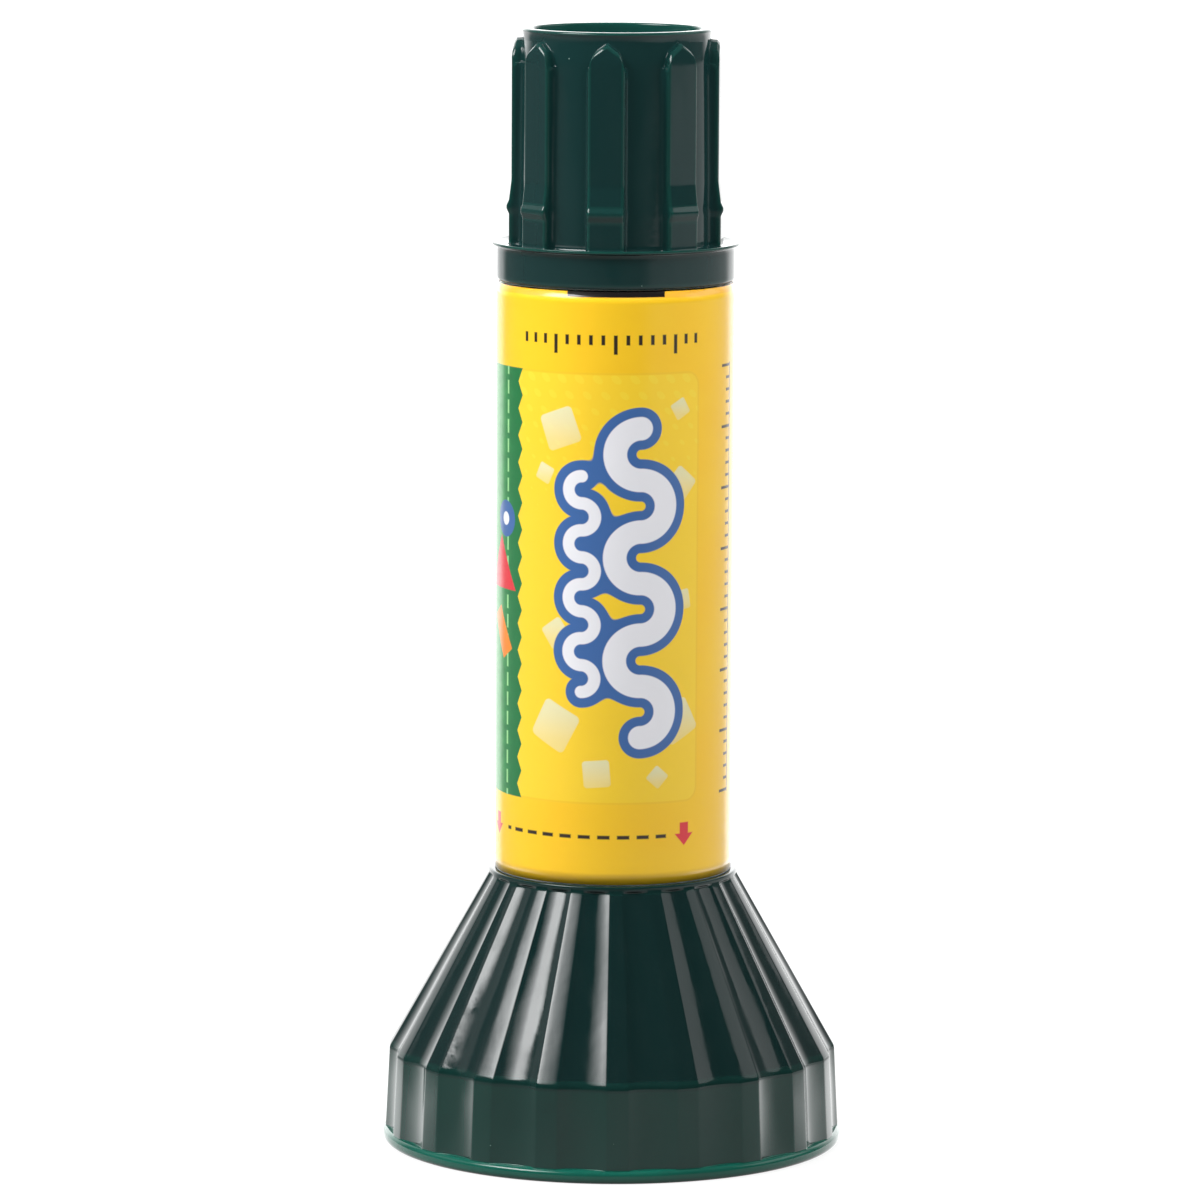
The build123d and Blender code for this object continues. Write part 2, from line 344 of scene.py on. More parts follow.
def foot_line(foot_radius, steps=9):
    """Rows from the band's foot over the flange's ledge and top rounding to its wall."""
    round_start = flange_radius - flange_edge
    ledge = np.maximum(round_start - foot_radius, 0)
    turn = np.arccos(np.clip((foot_radius - round_start) / flange_edge, 0, 1))
    length = ledge + flange_edge * turn
    rows = [(foot_radius, flange_height + 3 * foot_fillet), (foot_radius, flange_height + foot_fillet)]
    for share in (0.0, foot_fillet / mm, *np.linspace(0, 1, steps)[1:]):
        run = length * share
        left = np.clip(turn - (run - ledge) / flange_edge, 0, turn)
        radius = np.where(run < ledge, foot_radius + run, round_start + flange_edge * np.cos(left))
        height = np.where(run < ledge, flange_height,
                          flange_height - flange_edge + flange_edge * np.sin(left))
        rows.append((radius, height))
    return rows


def make_cap(finish):
    angles = cap_angles()
    cone = soften(lambda height: np.interp(
        height, (flange_height, shoulder_z, ring_z), (band_foot_radius, shoulder_radius, mouth_radius)),
        shoulder_edge)
    rows = []

    def share(height):
        return soften(lambda angle: flute_share(angle, height), flute_edge)(angles)

    # Each row carries its painted glow, a lighter green standing in for light through the wall
    def add(lines, painted_glow=0.0):
        rows.extend((polar(angles, radius, height), painted_glow) for radius, height in lines)

    # Socket, from its floor up to the mouth
    add([(socket_radius * share_out, socket_floor_z) for share_out in (0.25, 0.5, 0.75)])
    add(arc(socket_radius - socket_edge, socket_floor_z + socket_edge, socket_edge, -90, 0, 5))
    heights = spaced(socket_floor_z + wide_inset, groove_z - wide_inset, 6)
    add([(socket_radius, height) for height in heights])
    for side in (-0.5, -0.17, 0.17, 0.5):
        deep = groove_depth * (abs(side) < 0.3)
        add([(socket_radius + deep, groove_z + side * groove_width)])
    add([(socket_radius, mouth_z - mouth_edge), (socket_radius + mouth_edge, mouth_z)])

    # Mouth ring
    add([((socket_radius + mouth_radius) / 2, mouth_z)])
    add(arc(mouth_radius - mouth_edge, mouth_z - mouth_edge, mouth_edge, 90, 0, 5), mouth_glow_share)

    # Flutes on the cone and the band
    for height in spaced(ring_z + 1.5 * ring_ease, ring_z - 1.5 * ring_ease, 9):
        ease = np.clip((ring_z + ring_ease - height) / (2 * ring_ease), 0, 1)
        ease = ease * ease * (3 - 2 * ease)
        add([(cone(height) * (1 + (share(height) - 1) * ease), height)], ring_glow_share)
    cone_heights = spaced(ring_z - 2.5 * ring_ease, shoulder_z + 2.5 * shoulder_edge, 26)
    turn_heights = spaced(shoulder_z + 1.5 * shoulder_edge, shoulder_z - 1.5 * shoulder_edge, 7)
    band_heights = spaced(shoulder_z - 2.5 * shoulder_edge, flange_height + middle_inset, 8)
    parts = ((cone_heights, 0.0), (turn_heights, turn_glow_share), (band_heights, band_glow_share))
    for heights, painted_glow in parts:
        add([(cone(height) * share(height), height) for height in heights], painted_glow)

    # Flange and foot
    foot = foot_line(band_foot_radius * share(flange_height))
    add(foot[:2], band_glow_share)
    add(foot[2:], foot_glow_share)
    add(arc(flange_radius - flange_edge, flange_edge, flange_edge, 0, -90, 7), foot_glow_share)

    # Inside of the bell, the socket's tube and its floor from below
    slope = (shoulder_radius - mouth_radius) / (ring_z - shoulder_z)
    skin_across = skin_thickness * hypot(1, slope)
    bell_foot_radius = band_foot_radius - skin_thickness
    bell_shoulder = (shoulder_radius - skin_thickness, shoulder_z - (skin_across - skin_thickness) / slope)
    bell_apex_z = shoulder_z + (shoulder_radius - skin_across - tube_radius) / slope
    add([((bell_foot_radius + flange_radius - flange_edge) / 2, 0)], foot_glow_share)
    add([(bell_foot_radius + mouth_edge, 0), (bell_foot_radius, mouth_edge)], bell_glow_share)
    for up in spaced(0.1, 1, 5):
        add([(bell_foot_radius + up * (bell_shoulder[0] - bell_foot_radius), up * bell_shoulder[1])])
    for up in spaced(0.07, 0.97, 10):
        add([(bell_shoulder[0] + up * (tube_radius - bell_shoulder[0]),
              bell_shoulder[1] + up * (bell_apex_z - bell_shoulder[1]))])
    heights = spaced(bell_apex_z - apex_inset, socket_lift + socket_edge, 6)
    add([(tube_radius, height) for height in heights])
    add(arc(tube_radius - socket_edge, socket_lift + socket_edge, socket_edge, 0, -90, 4)[1:])
    add([(tube_radius * share_out, socket_lift) for share_out in (0.7, 0.4, 0.15)])

    points, faces = turned_skin([row for row, _ in rows], (0, 0, socket_floor_z), (0, 0, socket_lift))
    painted_glow = np.concatenate([np.repeat([painted_glow for _, painted_glow in rows], len(angles)), [0, 0]])
    piece = add_piece("fluted_cap", points, faces, "cap", finish, painted_glow)
    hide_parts("cap")


# Knob
top_steps, edge_steps, wall_steps, fillet_steps, stem_steps = 8, 5, 2, 3, 7
half_count = top_steps + edge_steps + wall_steps + fillet_steps + stem_steps


def sharp_stem_line(height):
    """The radius of the stem between the ribs: it narrows upwards, and flares out to the rim."""
    heights = (dish_z, rim_z - neck_length, rim_z - neck_drop, rim_z)
    radii = (stem_radius + stem_taper, stem_radius, stem_radius - neck_dent, stem_radius)
    return np.interp(height, heights, radii)


stem_line = soften(sharp_stem_line, neck_drop / 3)


def rib_half(face, stem, fillet):
    """Half of the section round one rib, from its middle to midway to the next: angles and radii.

    The face is the radius of the rib's flat outer side, the stem is that of the stem beside it and
    the fillet is the size of the rounding between them, one value of each for each of the points.
    """
    x, y = np.zeros(half_count), np.zeros(half_count)
    top = slice(0, top_steps)
    x[top] = (rib_half_width - rib_edge) * np.linspace(0, 1, top_steps) ** 0.6
    y[top] = face[top] - rib_crown * (x[top] / rib_half_width) ** 2
    turns = np.radians(np.linspace(90, rib_draft, edge_steps + 1)[1:])
    edge = slice(top_steps, top_steps + edge_steps)
    x[edge] = rib_half_width - rib_edge + rib_edge * np.cos(turns)
    y[edge] = face[edge] - rib_crown - rib_edge + rib_edge * np.sin(turns)
    start = top_steps + edge_steps
    root = stem[start]
    wall_x = x[start - 1] + tan(radians(rib_draft)) * (y[start - 1] - root)
    foot = np.arctan2(wall_x, root)
    foot_y = (root + fillet[start]) * cos(foot)
    for step in range(wall_steps):
        share = (step + 1) / wall_steps
        x[start + step] = x[start - 1] + share * (wall_x - x[start - 1])
        y[start + step] = y[start - 1] + share * (foot_y - y[start - 1])
    angle = np.degrees(np.arctan2(x, y))
    radius = np.hypot(x, y)
    start += wall_steps
    fillet_turn = np.degrees(rib_fillet / root)
    for step in range(fillet_steps):
        share = (step + 1) / fillet_steps
        angle[start + step] = np.degrees(foot) + fillet_turn * share
        radius[start + step] = root + fillet[start + step] * (1 - share) ** 2
    start += fillet_steps
    angle[start:] = np.linspace(np.degrees(foot) + fillet_turn, 180 / rib_count, stem_steps + 1)[1:]
    radius[start:] = stem[start:]
    return angle, radius


plain_sizes = [np.full(half_count, size) for size in (rib_radius, stem_radius, rib_fillet)]
base_angle, _ = rib_half(*plain_sizes)
half_across = np.clip(np.tan(np.radians(base_angle)) * rib_radius, 0, rib_half_width)
shoulder_share = np.clip((half_across - shoulder_start) / (rib_half_width - shoulder_start), 0, 1)
gable_line = rib_tip_z - gable_slope * half_across - shoulder_drop * shoulder_share ** 2.5


def all_round(half):
    """The values of one half section, mirrored and repeated for every rib."""
    one = np.concatenate([half[::-1], half[1:-1]])
    return np.tile(one, rib_count)


def all_angles(half_angle):
    """The angles of one half section, mirrored and repeated round the stem."""
    one = np.concatenate([-half_angle[::-1], half_angle[1:-1]])
    starts = rib_turn + 360 / rib_count * np.arange(rib_count)
    return (starts[:, None] + one).ravel()


def rib_face(height):
    """The radius of the ribs' outer side at a height, with its flare, bump and bevelled tip."""
    half = bump_width / 2
    heights = (bump_z - half, bump_z - half / 4, bump_z + half / 4, bump_z + half, rib_flare_top,
               rib_tip_z - rib_half_width, rib_tip_z)
    radii = (rib_foot_radius, bump_radius, bump_radius, rib_foot_radius, rib_radius,
             rib_radius, rib_radius - rib_tip_bevel)
    return np.interp(height, heights, radii)


def rib_ring(height, stand=1.0):
    """A ring round the stem and its ribs; stand is how far the ribs are there, from 0 to 1."""
    height = np.broadcast_to(height, half_count)
    stem = stem_line(height)
    fillet = rib_fillet * np.clip((gable_line[-1] - height) / rib_edge / 4, 0.1, 1)
    angle, radius = rib_half(soften(rib_face, lip_edge)(height), stem, fillet)
    radius = stem + stand * (radius - stem)
    angle = base_angle + stand * (angle - base_angle)
    return polar(all_angles(angle), all_round(radius), all_round(height))


def make_knob(finish):
    angles = all_angles(base_angle)
    # Rib edges and tips carry painted glow, a lighter green standing in for light through them
    on_rib = np.zeros(half_count)
    on_rib[:top_steps + edge_steps] = 1
    on_edge = np.zeros(half_count)
    on_edge[top_steps - 1:top_steps + edge_steps] = edge_glow_share
    rows = []

    def add(lines, painted_glow=0.0):
        for radius, height in lines:
            rows.append((polar(angles, radius, height), np.full(len(angles), painted_glow)))

    def add_ribs(height, stand=1.0, painted_glow=0.0):
        rows.append((rib_ring(height, stand), all_round(np.maximum(on_edge * stand, painted_glow * on_rib))))

    # Hollow of the stem, from its floor up to the rim
    add([(stem_bore_radius * share_out, dish_z) for share_out in (0.3, 0.6, 0.85)])
    add(arc(stem_bore_radius - rim_edge, dish_z + rim_edge, rim_edge, -90, 0, 4))
    heights = spaced(dish_z + wide_inset, rim_z - wide_inset, 8)
    add([(stem_bore_radius, height) for height in heights], bore_glow_share)
    add(arc(stem_bore_radius + rim_edge, rim_z - rim_edge, rim_edge, 180, 90, 5), rim_glow_share)
    add(arc(stem_radius - rim_edge, rim_z - rim_edge, rim_edge, 90, 0, 5), rim_side_glow_share)

    # Ribs, from above their tips to their feet
    above = rim_z - 1.4 * rim_edge
    for share in (1.0, 0.85, 0.7, 0.55, 0.4, 0.25, 0.12):
        add_ribs((gable_line + tip_clear) * (1 - share) + above * share, 0.0)
    for lift_share, stand_share in tip_shares:
        add_ribs(gable_line + lift_share * mm, stand_share, tip_glow_share * stand_share)
    plain_top, plain_low = rim_z - full_rib_drop, rib_flare_top + close_inset
    for share in (0.04, 0.12, 0.25, 0.4, 0.55, 0.7, 0.85, 1):
        add_ribs((gable_line - tip_low) * (1 - share) + plain_top * share)
    for height in spaced(plain_top - wide_inset, plain_low, 6):
        add_ribs(height)
    for height in spaced(rib_flare_top + plug_edge, bump_z + 0.65 * bump_width, 9):
        add_ribs(height)
    for share in spaced(0.58, -0.58, 17):
        add_ribs(bump_z + share * bump_width, 1.0, bump_glow_share)
    for height in spaced(bump_z - 0.8 * bump_width, dish_z + close_inset, 5):
        add_ribs(height)
    add_ribs(dish_z + foot_inset)

    # Dish, lip and collar
    foot = rows[-1][0]
    spread = foot * (1 + foot_spread_share)
    spread[:, 2] = dish_z
    rows.append((spread, np.zeros(len(angles))))
    add([(dish_radius - lip_edge, dish_z), (dish_radius + lip_edge, dish_z + lip_edge / 2)])
    slope_radius = dish_radius + lip_slope
    add([(slope_radius, lip_z - lip_edge / 2), (slope_radius + lip_edge, lip_z)], edge_glow_share)
    add(arc(lip_radius - lip_edge, lip_z - lip_edge, lip_edge, 90, 0, 3), rim_glow_share)
    add(arc(lip_radius - lip_edge, dish_z + lip_edge, lip_edge, 0, -70, 3), rim_glow_share)
    add([(collar_radius + lip_edge, lip_foot_z + lip_edge / 2)], edge_glow_share)
    add([(collar_radius, lip_foot_z - lip_edge)], edge_glow_share)
    heights = spaced(lip_foot_z - close_inset, collar_low + 1.4 * collar_edge, 6)
    add([(collar_radius, height) for height in heights])
    add(arc(collar_radius - collar_edge, collar_low + collar_edge, collar_edge, 0, -90, 8), bump_glow_share)

    # Plug, web and hub, hidden in the barrel
    add([(plug_radius + plug_edge, collar_low), (plug_radius, collar_low - plug_edge)])
    for share in (0.5, 0.17, -0.17, -0.5):
        stand = plug_bead_height * (abs(share) < 0.3)
        add([(plug_radius + stand, plug_bead_z + share * plug_bead_width)])
    add([(plug_radius, plug_end_z + plug_edge), (plug_radius - plug_edge, plug_end_z)])
    add([(plug_bore_radius + plug_edge, plug_end_z), (plug_bore_radius, plug_end_z + plug_edge)])
    add([(plug_bore_radius, web_z - plug_edge), (plug_bore_radius - plug_edge, web_z)])
    add([(hub_radius + plug_edge, web_z), (hub_radius, web_z - plug_edge)])
    add([(hub_radius, hub_end_z + plug_edge), (hub_radius - plug_edge, hub_end_z)])
    towards_flat = np.maximum(np.cos(np.radians(angles - 90)), 0.01)
    hole = np.minimum(shank_radius, shank_flat / towards_flat)
    add([(hole, hub_end_z), (hole, (hub_end_z + web_z) / 2), (hole, web_z)])

    points, faces = turned_skin([row for row, _ in rows], (0, 0, dish_z), (0, 0, web_z))
    painted_glow = np.concatenate([*[painted_glow for _, painted_glow in rows], [0, 0]])
    piece = add_piece("ribbed_knob", points, faces, "knob", finish, painted_glow)
    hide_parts("knob")


# Label
def make_label(finish):
    """A film a fraction of a millimetre thick, wrapped once round the barrel, whose end climbs over its
    start at the back.
    """
    steps, rows = 372, 49
    angles = np.linspace(film_start, film_start + 360 + film_lap, steps)
    climb = np.clip((angles - film_start - 360 + film_lap_ramp) / film_lap_ramp, 0, 1)
    inner = barrel_radius + film_thickness * climb * climb * (3 - 2 * climb)
    heights = np.linspace(label_low, tail_z + film_reach, rows)
    turn, height = np.meshgrid(np.radians(angles), heights, indexing="ij")
    wave = np.sin(3 * turn + height / film_wave_around) * np.sin(height / film_wave_up + 1.3 * turn)
    wave = film_wave * wave
    middle = np.sin(np.linspace(0, pi, rows)) ** 0.3
    inner = inner[:, None] + 0 * height
    outer = inner + film_thickness + np.maximum(wave, 0) * middle
    outside = polar(np.degrees(turn), outer, height)
    inside = polar(np.degrees(turn), inner, height)
    loops = np.concatenate([outside[:, ::-1], inside], axis=1)
    points = loops.reshape(-1, 3)
    around = 2 * rows
    faces = [tuple(reversed(face)) for face in ring_faces(steps, around)]
    for row in range(rows - 1):
        opposite = around - 1 - row
        faces.append((row, row + 1, opposite - 1, opposite))
        last = (steps - 1) * around
        faces.append((last + opposite, last + opposite - 1, last + row + 1, last + row))
    piece = add_piece("label_film", points, faces, "barrel", finish)
    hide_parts("label")


# Glue
def make_glue(finish):
    """The stick of glue, with a shallow cast dimple in its front and two slots along its sides."""
    slot_half = np.degrees(np.arcsin(slot_half_width / glue_radius))
    edge = np.array([-0.5, -0.2, 0, 0.2, 0.5])
    plain = np.linspace(slot_half + 0.8, 180 - slot_half - 0.8, 60)
    middle = np.array([-slot_half / 2, 0, slot_half / 2])
    half = np.concatenate([middle, slot_half + edge, plain, 180 - slot_half + edge])
    angles = np.sort(np.concatenate([half, half + 180])) + 90

    def slotted(radius):
        """The radius at each column, held back to the floor of a slot where there is one."""
        def shape(angle):
            across = np.abs(angle % 180 - 90)
            floor = slot_radius / np.cos(np.radians(across))
            return np.where(across < slot_half, np.minimum(radius, floor), radius)
        return soften(shape, 0.3)(angles)

    rows = []

    def add(lines):
        rows.extend(polar(angles, radius, height) for radius, height in lines)

    bore_heights = spaced(glue_bore_z + wide_inset, glue_high, 6)
    side_heights = spaced(glue_cup_z, glue_low + wide_inset, 40)
    front_edge = arc(glue_radius - glue_edge, glue_low + glue_edge, glue_edge, 0, -80, 6)
    add([(glue_bore_radius * share, glue_bore_z) for share in (0.4, 0.8, 1.0)])
    add([(glue_bore_radius, height) for height in bore_heights])
    add([(glue_cup_radius, glue_high), (glue_cup_radius, glue_cup_z + glue_cup_clear)])
    add([(slotted(glue_radius), height) for height in side_heights])
    add([(slotted(radius), height) for radius, height in front_edge])
    for share in spaced(0.9, 0.08, 12):
        ripple = glue_ripple * np.sin(np.radians(2 * angles) + 9 * share)
        rise = np.maximum(glue_dimple * (1 - share ** 2) + ripple, 0)
        add([(glue_radius * share, glue_low + rise)])
    rows = rows[::-1]
    points, faces = turned_skin(rows, (0, 0, glue_low + glue_dimple), (0, 0, glue_bore_z))
    faces = [tuple(reversed(face)) for face in faces]
    piece = add_piece("glue_stick", points, faces, "carrier", finish)
    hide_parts("glue")


# Finishes
class Field:
    """A number that varies over a surface; sums and products with it add math nodes."""

    def __init__(self, finish, socket):
        self.finish, self.socket = finish, socket

    def math(self, operation, *others):
        return self.finish.add("ShaderNodeMath", (self, *others), operation=operation)

    def __add__(self, other):
        return self.math("ADD", other)

    def __sub__(self, other):
        return self.math("SUBTRACT", other)

    def __mul__(self, other):
        return self.math("MULTIPLY", other)

    def __truediv__(self, other):
        return self.math("DIVIDE", other)

    def __mod__(self, other):
        return self.math("FLOORED_MODULO", other)

    def __abs__(self):
        return self.math("ABSOLUTE")

    def both(self, other):
        """Where this mask and the other one are."""
        return self.math("MINIMUM", other)

    def either(self, other):
        """Where this mask or the other one is."""
        return self.math("MAXIMUM", other)

    def rise(self, low, high, start=0.0, end=1.0):
        """Goes smoothly from start to end while this value goes from low to high."""
        return self.finish.add("ShaderNodeMapRange", (self, low, high, start, end),
                               interpolation_type="SMOOTHSTEP")


class Finish:
    """A material made of nodes. Each call adds one node and gives its output as a Field."""

    def __init__(self, name, **settings):
        self.material = bpy.data.materials.new(name)
        self.material.use_nodes = True
        self.tree = self.material.node_tree
        self.shader = self.tree.nodes["Principled BSDF"]
        for key, value in settings.items():
            self.put(self.shader.inputs[key.replace("_", " ")], value)

    def put(self, socket, value):
        if isinstance(value, Field):
            self.tree.links.new(value.socket, socket)
        else:
            socket.default_value = value

    def set(self, name, value):
        self.put(self.shader.inputs[name], value)

    def add(self, kind, inputs=(), output=0, **settings):
        node = self.tree.nodes.new(kind)
        for name, value in settings.items():
            setattr(node, name, value)
        for key, value in inputs.items() if isinstance(inputs, dict) else enumerate(inputs):
            self.put(node.inputs[key], value)
        return Field(self, node.outputs[output])

    def places(self):
        """The place on the piece, as it lies in its own frame at rest."""
        return self.add("ShaderNodeTexCoord", output="Object")

    def axes(self):
        place = self.places()
        return [self.add("ShaderNodeSeparateXYZ", (place,), output=axis) for axis in "XYZ"]

    def noise(self, size, detail, stretch=None):
        """Soft noise with lumps of about a size; stretch lengthens them along the axis."""
        place = self.places()
        if stretch:
            place = self.add("ShaderNodeMapping", {"Vector": place, "Scale": (1, 1, 1 / stretch)})
        return self.add("ShaderNodeTexNoise", {"Vector": place, "Scale": 1 / size, "Detail": detail})

    def specks(self, size, cell, share):
        """A mask of rare round specks, one at most in a cell, in a share of the cells."""
        inputs = {"Vector": self.places(), "Scale": 1 / cell}
        distance = self.add("ShaderNodeTexVoronoi", inputs)
        colour = self.add("ShaderNodeTexVoronoi", inputs, output="Color")
        pick = self.add("ShaderNodeSeparateColor", (colour,))
        near = distance.rise(size / cell, 0.5 * size / cell)
        return near * pick.math("LESS_THAN", share)

    def ink(self, under, over, mask):
        """The colour over, laid on the colour under where the mask is 1."""
        return self.add("ShaderNodeMix", {0: mask, 6: under, 7: over}, output=2, data_type="RGBA")

    def bump(self, height, depth):
        inputs = {"Strength": 1.0, "Distance": depth, "Height": height}
        self.set("Normal", self.add("ShaderNodeBump", inputs))


def green_plastic(name, deep_green):
    finish = Finish(name, IOR=1.5)
    # Painted glow: the green turns lighter where the mesh says, standing in for light through thin walls
    # and from the floor
    painted_glow = finish.add("ShaderNodeAttribute", output="Fac", attribute_name="painted_glow")
    cloud = finish.noise(green_cloud, 3)
    colour = finish.ink(deep_green, painted_glow_green, painted_glow * cloud.rise(0.2, 0.6, 0.75, 1.0))
    speck = finish.specks(speck_size, speck_cell, speck_share)
    finish.set("Base Color", finish.ink(colour, dust, speck))
    scuff = finish.noise(green_scuff, 4, stretch=5)
    finish.set("Roughness", scuff.rise(0.3, 0.72, 0.05, 0.15) + speck * 0.4)
    mould = finish.noise(green_mould, 2, stretch=2) + finish.noise(green_grain, 2) * 0.12 + speck * 0.4
    finish.bump(mould, green_depth)
    return finish.material


def white_plastic(name, colour, roughness):
    finish = Finish(name, IOR=1.49, Subsurface_Weight=0.15, Subsurface_Scale=white_scatter)
    cloud = finish.noise(white_cloud, 3)
    shade = tuple(cloud_share * part for part in colour[:3]) + (1,)
    finish.set("Base Color", finish.ink(colour, shade, cloud.rise(0.35, 0.7)))
    scuff = finish.noise(white_scuff, 3, stretch=4)
    finish.set("Roughness", scuff.rise(0.3, 0.7, roughness, roughness + 0.12))
    finish.bump(finish.noise(white_grain, 3), satin_depth)
    return finish.material


def glue_paste():
    finish = Finish("glue_paste", IOR=1.45, Subsurface_Weight=0.35, Subsurface_Scale=paste_scatter)
    cloud = finish.noise(paste_cloud, 3)
    finish.set("Base Color", finish.ink(glue_white, glue_damp, cloud.rise(0.4, 0.7)))
    finish.set("Roughness", finish.noise(paste_scuff, 3).rise(0.3, 0.7, 0.38, 0.55))
    finish.bump(finish.noise(paste_lump, 4) + finish.noise(paste_grain, 2) * 0.3, paste_depth)
    return finish.material


def label_print():
    """A generic craft print on the film.

    All places and sizes in it are in millimetres: u goes round the stick from the middle of its
    front, positive to the right, and v goes up, from 23 at the cap's mouth to 71 at the collar.
    """
    mouth_v, tail_v = 23, 71
    finish = Finish("label_film", IOR=1.5, Specular_IOR_Level=0.2, Coat_Weight=1.0, Coat_Roughness=0.08)
    x, y, z = finish.axes()
    u = x.math("ARCTAN2", y * -1) * (barrel_radius / mm)
    v = (z - mouth_z) / mm + mouth_v
    soft, dash_pitch = 0.06, 1.6

    def between(value, low, high, blur=soft):
        return value.rise(low - blur, low + blur).both(value.rise(high + blur, high - blur))

    def inside(distance, blur=soft):
        """The mask of a shape from the distance to its outline, negative inside."""
        return distance.rise(blur, -blur)

    def length(across, up):
        return (across * across + up * up).math("SQRT")

    def frame_distance(middle, half, corner, turn=0.0):
        """The distance to a box with rounded corners, turned by some degrees."""
        across, up = u - middle[0], v - middle[1]
        if turn:
            slant, rest = sin(radians(turn)), cos(radians(turn))
            across, up = across * rest + up * slant, up * rest - across * slant
        over_u, over_v = abs(across) - (half[0] - corner), abs(up) - (half[1] - corner)
        outer = length(over_u.math("MAXIMUM", 0), over_v.math("MAXIMUM", 0))
        return outer + over_u.math("MAXIMUM", over_v).math("MINIMUM", 0) - corner

    def trail_distance(middle, start, turns, swing):
        """The distance to a trail of half circles, first right and then left, with round ends."""
        aside = u - middle
        on_left = aside.math("LESS_THAN", 0)
        number = ((v - start - swing - on_left * (2 * swing)) / (4 * swing)).math("ROUND")
        number = number.math("MAXIMUM", 0).math("MINIMUM", turns - 1)
        centre = number * (4 * swing) + on_left * (2 * swing) + (start + swing)
        bend = abs(length(aside, v - centre) - swing)
        ends = length(aside, v - start).math("MINIMUM", length(aside, v - (start + 4 * turns * swing)))
        return bend.math("MINIMUM", ends)

    # Ground: yellow film with a paler panel, both a little uneven
    cloud = finish.noise(film_cloud, 2)
    colour = finish.ink(film_yellow, cloud_yellow, cloud.rise(0.3, 0.7))
    panel = frame_distance((-2.2, 47.3), (9.6, 17.6), 1.2)
    colour = finish.ink(colour, panel_yellow, inside(panel) * 0.85)
    pitch_u, pitch_v, dots_start = 1.5, 1.3, 52
    grid_u, grid_v = abs((u + v * 0.5) % pitch_u - pitch_u / 2), abs(v % pitch_v - pitch_v / 2)
    dots = inside(length(grid_u, grid_v) - (v - dots_start) * 0.03)
    colour = finish.ink(colour, dot_yellow, dots.both(inside(panel)) * 0.45)
    colour = finish.ink(colour, rule_yellow, between(panel, -0.16, 0.0) * 0.55)

    # Pale paper snips
    snips = ((-4.6, 60.3, 1.5, 20), (5.6, 55.8, 1.1, 50), (-6.0, 56.6, 0.7, 65), (-4.9, 43.6, 1.0, 35),
             (5.7, 46.3, 0.8, 10), (-5.0, 36.0, 1.7, 62), (5.4, 36.4, 1.5, 28), (-1.4, 32.2, 1.1, 5),
             (3.6, 31.9, 0.7, 48), (5.5, 61.9, 0.7, 30))
    for place_u, place_v, half, turn in snips:
        snip = frame_distance((place_u, place_v), (half, half), 0.25 * half, turn)
        shade = (v - (place_v - half)).rise(0, 2 * half, 0.45, 0.85)
        colour = finish.ink(colour, ink_pale, inside(snip) * shade)

    # Green band with pinked edges, and a pale seam along its right one
    band_left, band_right, band_low, band_high = -21.5, -8.5, 29.7, 64.9
    tooth_pitch, tooth_height = 2.2, 0.55
    tooth = abs((v / tooth_pitch) % 1 - 0.5) * (2 * tooth_height)
    right_edge = u - band_right + tooth
    left_edge = u - band_left - tooth
    height = between(v, band_low, band_high)
    band = inside(right_edge).both(left_edge.rise(-soft, soft)).both(height)
    green = finish.ink(grass_green, leaf_green, right_edge.rise(-4.5, -0.8))
    colour = finish.ink(colour, green, band)
    stitch = between(v % dash_pitch, 0.25, 1.35)
    colour = finish.ink(colour, mint, between(u, -10.75, -10.5).both(height).both(stitch))

    # Trails of glue: white on blue
    wide_half, slim_half, slim_shift, blend, outline = 0.95, 0.5, 0.42, 1.5, 0.77
    wide = trail_distance(2.1, 35.2, 3, 2.1)
    slim = trail_distance(-2.7, 38.9, 4, 1.1)
    both = wide.math("SMOOTH_MIN", slim + slim_shift, blend)
    colour = finish.ink(colour, ink_blue, inside(both - (wide_half + outline)))
    white = inside(wide - wide_half).either(inside(slim - slim_half))
    colour = finish.ink(colour, ink_white, white)

    # Cut paper shapes over the band: a strip, a triangle and a disc
    strip = frame_distance((-11.7, 43.0), (0.9, 2.0), 0.1, 32)
    colour = finish.ink(colour, ink_orange, inside(strip))
    triangle_u, triangle_v, triangle_side, triangle_drop = -11.9, 47.8, 1.6, 1.2
    slant_u, slant_v = abs(u - triangle_u), v - triangle_v
    slants = slant_u * 0.87 + slant_v * 0.5 - triangle_side
    triangle = slants.math("MAXIMUM", slant_v * -1 - triangle_drop)
    colour = finish.ink(colour, ink_red, inside(triangle))
    disc_u, disc_v, disc_radius, hole_radius = -11.0, 52.4, 1.5, 0.55
    disc = length(u - disc_u, v - disc_v)
    colour = finish.ink(colour, ink_blue, inside(disc - disc_radius))
    colour = finish.ink(colour, ink_white, inside(disc - hole_radius))

    # Red arrows and a dashed line near the mouth, ticks near the collar and up the side
    arrow_tip_v, arrow_head, arrow_stem_half = 26.1, 1.0, 0.42
    from_tip = v - arrow_tip_v
    for arrow_u in (-12.4, 6.1):
        across = abs(u - arrow_u)
        head = inside(across - from_tip * 0.9).both(between(from_tip, 0, arrow_head))
        stem = inside(across - arrow_stem_half).both(between(from_tip, 0.9 * arrow_head, 1.9 * arrow_head))
        colour = finish.ink(colour, ink_red, head.either(stem))
    dash = between(u % dash_pitch, 0.3, 1.3).both(between(v, 26.85, 27.15)).both(between(u, -10.4, 4.4))

    def scale(along, across, ends, foot, half_width, size, more):
        """Ticks a millimetre apart that reach back from a foot, every fifth one further by more."""
        tick = inside(abs((along + 0.5) % 1 - 0.5) - half_width, 0.04)
        fifth = abs((along + 2.5) % 5 - 2.5).rise(0.3, 0.2, 0.0, more)
        start = (across - foot + fifth).rise(-size - 0.05, -size + 0.05)
        end = across.rise(foot + 0.1, foot)
        return tick.both(start).both(end).both(between(along, *ends, 0.02))

